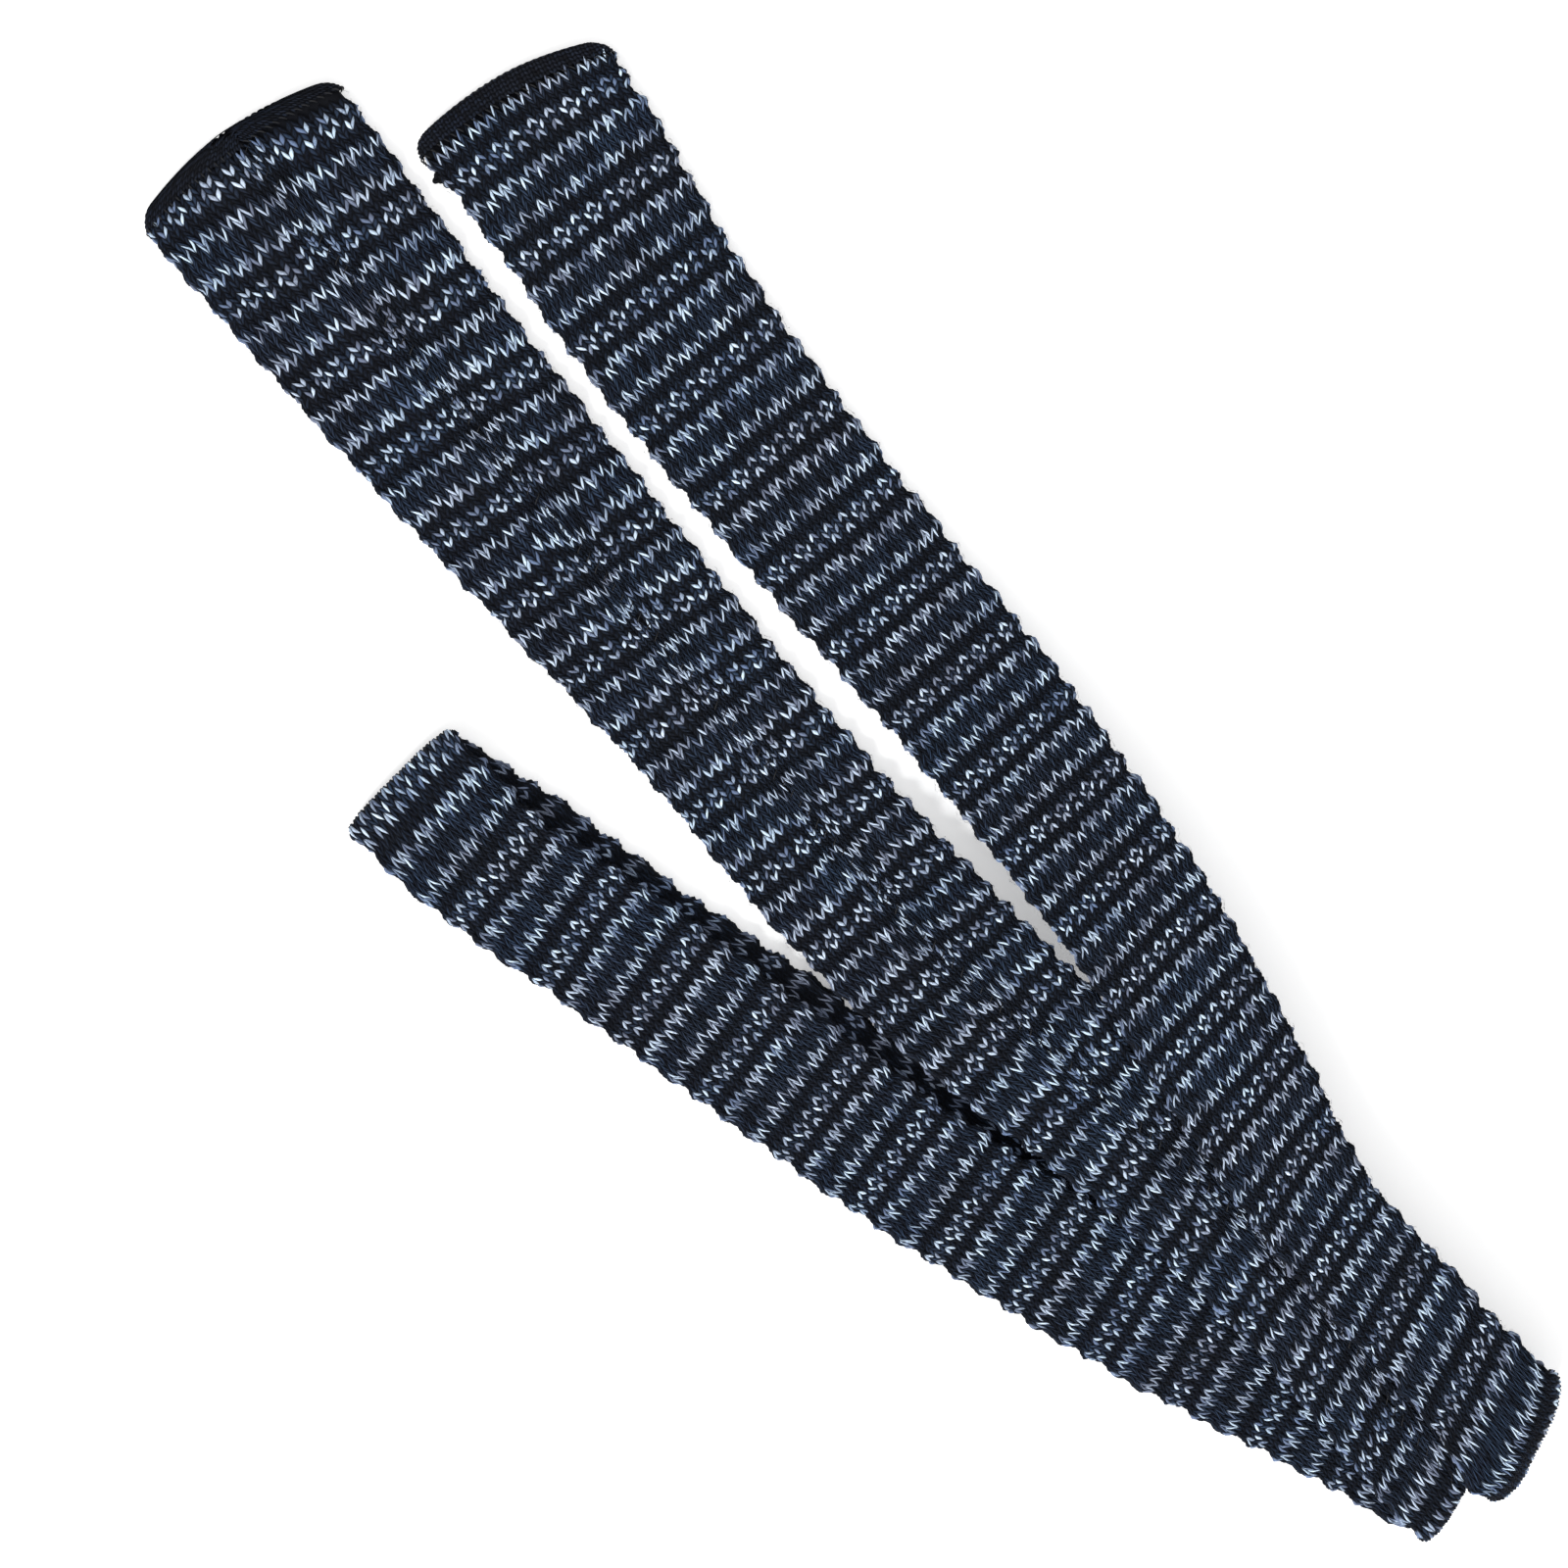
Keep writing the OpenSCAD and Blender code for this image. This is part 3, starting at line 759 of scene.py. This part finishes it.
# A tuft is the middle of a clump of hairs, in s and in e from the seam, and its spread
def looseFibres(name, s0, s1, reach, place, seed, tuft=None):
    rng = np.random.default_rng(seed)
    count = int((s1 - s0) * hair["perMillimetre"]) if tuft is None else hair["tuftHairs"]
    s = rng.uniform(s0, s1, count)[:, None]
    halfWay = halfRound(s)
    onEdge = rng.random((count, 1)) < hair["onEdge"]
    edgeLine = halfWay / 2 * (1 + rng.normal(0, hair["edgeSpread"], (count, 1)))
    e = np.where(onEdge, edgeLine, rng.uniform(*reach, (count, 1)) * halfWay)
    e = e * rng.choice([-1, 1], (count, 1))
    length, rise = rng.uniform(*hair["length"], (count, 1)), hair["rise"]
    if tuft is not None:
        s = rng.normal(tuft[0], tuft[2], (count, 1))
        e = halfWay + rng.normal(tuft[1], tuft[2], (count, 1))
        rise, length = 1.0, length * hair["tuftLength"]
    way, bend = rng.uniform(0, 2 * math.pi, (count, 1)), rng.normal(0, hair["bend"], (count, 1))
    t = np.linspace(0, 1, hair["steps"])[None, :]
    angle = way + bend * t
    ds = np.cumsum(np.cos(angle), 1) * length / hair["steps"]
    de = np.cumsum(np.sin(angle), 1) * length / hair["steps"]
    out = rng.uniform(0.3, 1, (count, 1)) * rise * np.sin(t * math.pi * 0.75) - hair["sunk"]
    lines = onTube(np.clip(s + ds, 1, total - 1), e + de, out)
    roundYarns(name, lines, hair["radius"], 4, "fibre", place)


looseFibres("narrowFibres", 1, narrowTo, (0, 0.5), onNarrow, 21)
looseFibres("upperFibres", ends["upper"][0], sAt("upper", 95), (0, 0.5), onUpper, 22)
looseFibres("wideFibres", sAt("wide", 60), total - 1, (0.5, 1), onWide, 23)
looseFibres("tuftNearBend", wideFrom, total, (0, 1), onWide, 24, (sAt("wide", 34.5), 3.5, 1.1))
looseFibres("tuftOnBlade", wideFrom, total, (0, 1), onWide, 25, (sAt("wide", -93.4), -2.0, 1.4))

for nodes, piece in (
        (["narrow_blade"], cloth["narrowFace"][0]), (["outer_fold"], cloth["outerFold"][0]),
        (["stack_lower_lay", "loop_bend_lower", "neck_loop_lower"], cloth["lowerFace"][0]),
        (["stack_upper_lay", "loop_bend_upper", "neck_loop_upper"], cloth["upperFace"][0]),
        (["neck_loop_fold"], cloth["loopFold"][0]), (["stack_inner_fold"], cloth["innerFold"][0]),
        (["wide_blade_root"], cloth["wideRoot"][0]),
        (["wide_blade_bend", "wide_blade"], cloth["wideBlade"][0]),
        (["narrow_hem"], narrowHem[0]), (["wide_hem"], wideHem[0]),
        (["narrow_hem_stitching"], narrowStitching), (["wide_hem_stitching"], wideStitching),
        (["narrow_seam_thread"], narrowSeam), (["stack_seam_thread"], stackSeam),
        (["loop_seam_thread"], loopSeam), (["wide_seam_thread"], bladeSeam),
        (["narrow_yarn_knot"], yarnKnot), (["neck_stay_tape"], stayTape)):
    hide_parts(*nodes)


# A shader node group with its sockets, and its input and output nodes
def newGroup(name, inputs, outputs):
    group = bpy.data.node_groups.new(name, "ShaderNodeTree")
    for label, kind, value in inputs:
        socket = group.interface.new_socket(name=label, in_out="INPUT", socket_type=kind)
        if value is not None:
            socket.default_value = value
    for label, kind in outputs:
        group.interface.new_socket(name=label, in_out="OUTPUT", socket_type=kind)
    return group, group.nodes.new("NodeGroupInput"), group.nodes.new("NodeGroupOutput")


def addMath(tree, operation, first, second=None, third=None):
    node = tree.nodes.new("ShaderNodeMath")
    node.operation = operation
    for index, value in enumerate((first, second, third)):
        if isinstance(value, (int, float)):
            node.inputs[index].default_value = value
        elif value is not None:
            tree.links.new(value, node.inputs[index])
    return node.outputs[0]


# Painted shade on one leg of yarn: the crown, how far a point is from the leg's edges, as the product
# of a sine along it and a sine across it, which darkens the colour towards the edges; and the strands
# twisted round it
def makeLegGroup():
    group, given, result = newGroup("legOfYarn", [("Twist", "NodeSocketFloat", 3.0)],
                                    [("Crown", "NodeSocketFloat"), ("Strands", "NodeSocketFloat")])
    uv = group.nodes.new("ShaderNodeUVMap")
    uv.uv_map = "leg"
    split = group.nodes.new("ShaderNodeSeparateXYZ")
    group.links.new(uv.outputs["UV"], split.inputs[0])
    along, thick = split.outputs["X"], split.outputs["Y"]
    hills = []
    for way, power in ((along, 0.85), (thick, 0.9)):
        hill = addMath(group, "ABSOLUTE", addMath(group, "SINE", addMath(group, "MULTIPLY", way, math.pi)))
        hills.append(addMath(group, "POWER", hill, power))
    group.links.new(addMath(group, "MULTIPLY", *hills), result.inputs["Crown"])
    turned = addMath(group, "MULTIPLY_ADD", along, given.outputs["Twist"], thick)
    strands = addMath(group, "SINE", addMath(group, "MULTIPLY", turned, 2 * math.pi))
    group.links.new(addMath(group, "MULTIPLY_ADD", strands, 0.5, 0.5), result.inputs["Strands"])
    return group


# Fibres of the yarn: fine noise, and the slow change of colour from place to place
def makeFibreGroup():
    group, given, result = newGroup("fibreOfYarn", [("Fine", "NodeSocketFloat", 2500.0)],
                                    [("Fibre", "NodeSocketFloat"), ("Drift", "NodeSocketFloat")])
    place = group.nodes.new("ShaderNodeTexCoord")
    for scale, detail, label in ((None, 2.0, "Fibre"), (55.0, 2.0, "Drift")):
        noise = group.nodes.new("ShaderNodeTexNoise")
        noise.inputs["Detail"].default_value = detail
        group.links.new(place.outputs["Object"], noise.inputs["Vector"])
        if scale:
            noise.inputs["Scale"].default_value = scale
        else:
            group.links.new(given.outputs["Fine"], noise.inputs["Scale"])
        group.links.new(noise.outputs["Fac"], result.inputs[label])
    return group


legGroup, fibreGroup = makeLegGroup(), makeFibreGroup()


def addGroup(tree, group):
    node = tree.nodes.new("ShaderNodeGroup")
    node.node_tree = group
    return node


def addMix(tree, factor, first, second):
    node = tree.nodes.new("ShaderNodeMix")
    node.data_type = "RGBA"
    sockets = (node.inputs["Factor"], node.inputs[6], node.inputs[7])
    for socket, value in zip(sockets, (factor, first, second)):
        if hasattr(value, "is_output"):
            tree.links.new(value, socket)
        else:
            socket.default_value = value
    return node.outputs[2]


# What all the yarns share: how much of the colour comes from the leg's tone, random and with painted
# shade, and how much from its fibres, where the drift turns from cool to warm, and how the fibres break up
# the painted shade at the leg's edges
yarn = {"toneAndShade": 0.6, "fibre": 0.4, "drift": (0.38, 0.62), "fibreShadeEdge": (0.6, -0.5), "strands": 0.7,
        "bumpHeight": 0.0002, "roughSpread": 0.2, "sheenRoughness": 0.4}


# Colour between dark and light by each leg's tone, painted shade included, and its fibres, cooler or warmer
# by the drift, falling to the gap colour, a painted shade, at the edges of the leg
def yarnMaterial(name, look):
    material = bpy.data.materials.new(name)
    material.use_nodes = True
    tree = material.node_tree
    shader = tree.nodes["Principled BSDF"]
    leg, fibre = addGroup(tree, legGroup), addGroup(tree, fibreGroup)
    leg.inputs["Twist"].default_value = look["twist"]
    fibre.inputs["Fine"].default_value = look["fine"]
    toneAndShade = tree.nodes.new("ShaderNodeAttribute")
    toneAndShade.attribute_name = "toneAndShade"
    mixed = addMath(tree, "MULTIPLY_ADD", toneAndShade.outputs["Fac"], yarn["toneAndShade"],
                    addMath(tree, "MULTIPLY", fibre.outputs["Fibre"], yarn["fibre"]))
    ramp = tree.nodes.new("ShaderNodeMapRange")
    ramp.inputs["From Min"].default_value = look["range"][0]
    ramp.inputs["From Max"].default_value = look["range"][1]
    tree.links.new(mixed, ramp.inputs["Value"])
    drift = tree.nodes.new("ShaderNodeMapRange")
    drift.inputs["From Min"].default_value = yarn["drift"][0]
    drift.inputs["From Max"].default_value = yarn["drift"][1]
    tree.links.new(fibre.outputs["Drift"], drift.inputs["Value"])
    low = addMix(tree, drift.outputs["Result"], look["dark"], look["darkWarm"])
    high = addMix(tree, drift.outputs["Result"], look["light"], look["lightWarm"])
    strand = addMix(tree, ramp.outputs["Result"], low, high)
    crown = addMath(tree, "MULTIPLY_ADD", leg.outputs["Crown"], look["fill"],
                    addMath(tree, "MULTIPLY_ADD", fibre.outputs["Fibre"], *yarn["fibreShadeEdge"]))
    unshaded = addMath(tree, "MINIMUM", addMath(tree, "MAXIMUM", crown, 0.0), 1.0)
    # Painted shade between the legs: the colour falls to the gap colour at each leg's edges
    colour = addMix(tree, unshaded if look["legs"] else 1.0, look["gap"], strand)
    tree.links.new(colour, shader.inputs["Base Color"])
    bump = tree.nodes.new("ShaderNodeBump")
    bump.inputs["Strength"].default_value = look["bump"]
    bump.inputs["Distance"].default_value = yarn["bumpHeight"]
    height = addMath(tree, "MULTIPLY_ADD", leg.outputs["Strands"], yarn["strands"], fibre.outputs["Fibre"])
    tree.links.new(height, bump.inputs["Height"])
    tree.links.new(bump.outputs["Normal"], shader.inputs["Normal"])
    rough = addMath(tree, "MULTIPLY_ADD", fibre.outputs["Fibre"], yarn["roughSpread"], look["rough"])
    tree.links.new(rough, shader.inputs["Roughness"])
    shader.inputs["Sheen Weight"].default_value = look["sheen"]
    shader.inputs["Sheen Roughness"].default_value = yarn["sheenRoughness"]
    shader.inputs["Specular IOR Level"].default_value = look["gloss"]
    return material


# Each look's gap colour is the painted shade between the legs; legs says whether that shade is drawn
navyLook = {"dark": (0.0013, 0.0026, 0.0068, 1), "darkWarm": (0.0014, 0.0024, 0.0054, 1),
            "light": (0.032, 0.056, 0.105, 1), "lightWarm": (0.030, 0.045, 0.080, 1),
            "gap": (0.0008, 0.0012, 0.0028, 1), "twist": 3.0, "fine": 2600.0, "range": (0.2, 0.95),
            "legs": True, "fill": 1.5, "bump": 0.5, "rough": 0.75, "sheen": 0.02, "gloss": 0.14}
paleLook = {"dark": (0.10, 0.145, 0.25, 1), "darkWarm": (0.12, 0.14, 0.20, 1),
            "light": (0.68, 0.85, 1, 1), "lightWarm": (0.62, 0.73, 0.9, 1),
            "gap": (0.005, 0.008, 0.018, 1), "twist": 3.0, "fine": 2600.0, "range": (0.32, 0.84),
            "legs": True, "fill": 2.4, "bump": 0.4, "rough": 0.65, "sheen": 0.1, "gloss": 0.25}
hemLook = dict(navyLook, dark=(0.002, 0.0026, 0.005, 1), darkWarm=(0.0022, 0.0025, 0.0042, 1),
               light=(0.012, 0.018, 0.034, 1), lightWarm=(0.012, 0.016, 0.027, 1))
threadLook = dict(hemLook, legs=False, twist=5.0, gloss=0.35, rough=0.5)
fibreLook = dict(navyLook, legs=False, light=(0.09, 0.11, 0.16, 1), lightWarm=(0.08, 0.08, 0.1, 1))
tapeLook = dict(navyLook, legs=False, dark=(0.03, 0.034, 0.045, 1), darkWarm=(0.03, 0.03, 0.035, 1),
                light=(0.07, 0.08, 0.1, 1), lightWarm=(0.07, 0.07, 0.08, 1), twist=1.0)
finishes = {
    "navy": (yarnMaterial("navyYarn", navyLook), "banded_knit"),
    "pale": (yarnMaterial("paleFleckYarn", paleLook), "banded_knit"),
    "hem": (yarnMaterial("hemYarn", hemLook), "plain_knit"),
    "thread": (yarnMaterial("sewingThread", threadLook), "sewing_thread"),
    "tape": (yarnMaterial("stayTapeTwill", tapeLook), "stay_tape"),
    "fibre": (yarnMaterial("looseFibre", fibreLook), "banded_knit"),
    "base": (yarnMaterial("innerKnit", dict(hemLook, legs=False)), "banded_knit")}
for kind, (material, slotName) in finishes.items():
    for piece in pieces[kind]:
        piece.data.materials.append(material)
print("pieces:", sum(len(p) for p in pieces.values()),
      "triangles:", sum(2 * len(o.data.polygons) for p in pieces.values() for o in p))

# Camera straight over the tie
view = {"centre": (-17.9, 7.1), "width": 384, "lens": 85, "sensor": 36, "turn": 52, "rise": 8}
distance = view["width"] * view["lens"] / view["sensor"]
cameraData = bpy.data.cameras.new("camera")
cameraData.lens = view["lens"]
cameraData.sensor_width = view["sensor"]
cameraData.clip_start = 0.01
cameraData.clip_end = 20
camera = bpy.data.objects.new("camera", cameraData)
bpy.context.scene.collection.objects.link(camera)
camera.location = (view["centre"][0] * mm, view["centre"][1] * mm, (distance + view["rise"]) * mm)
camera.rotation_euler = (0, 0, math.radians(view["turn"]))
bpy.context.scene.camera = camera

# Pale floor and soft light, strongest from -Y
stage = {"size": 8, "under": 0.0003, "grey": 0.92, "rough": 0.9, "glow": 0.3, "sky": 0.75}
bpy.ops.mesh.primitive_plane_add(size=stage["size"], location=(0, 0, -stage["under"]))
floor = bpy.context.object
floor.name = "floor"
floorPaint = bpy.data.materials.new("paleFloor")
floorPaint.use_nodes = True
floorShader = floorPaint.node_tree.nodes["Principled BSDF"]
floorShader.inputs["Base Color"].default_value = (stage["grey"], stage["grey"], stage["grey"], 1)
floorShader.inputs["Roughness"].default_value = stage["rough"]
floorShader.inputs["Emission Color"].default_value = (1, 1, 1, 1)
floorShader.inputs["Emission Strength"].default_value = stage["glow"]
floor.data.materials.append(floorPaint)

# Each light's power, size, direction, height above the floor in degrees, and distance
lights = {"keyLight": (56, 0.9, -62, 34, 2.0), "fillLight": (10, 2.0, 100, 60, 2.2)}
for name, (power, size, azimuth, elevation, reach) in lights.items():
    data = bpy.data.lights.new(name, "AREA")
    data.energy = power
    data.size = size
    light = bpy.data.objects.new(name, data)
    a, b = math.radians(azimuth), math.radians(elevation)
    light.location = (reach * math.cos(b) * math.cos(a), reach * math.cos(b) * math.sin(a),
                      reach * math.sin(b))
    light.rotation_euler = (math.radians(90) - b, 0, a + math.radians(90))
    bpy.context.scene.collection.objects.link(light)
world = bpy.data.worlds.new("studio")
world.use_nodes = True
world.node_tree.nodes["Background"].inputs["Color"].default_value = (1, 1, 1, 1)
world.node_tree.nodes["Background"].inputs["Strength"].default_value = stage["sky"]
bpy.context.scene.world = world
bpy.context.scene.view_settings.view_transform = "Standard"
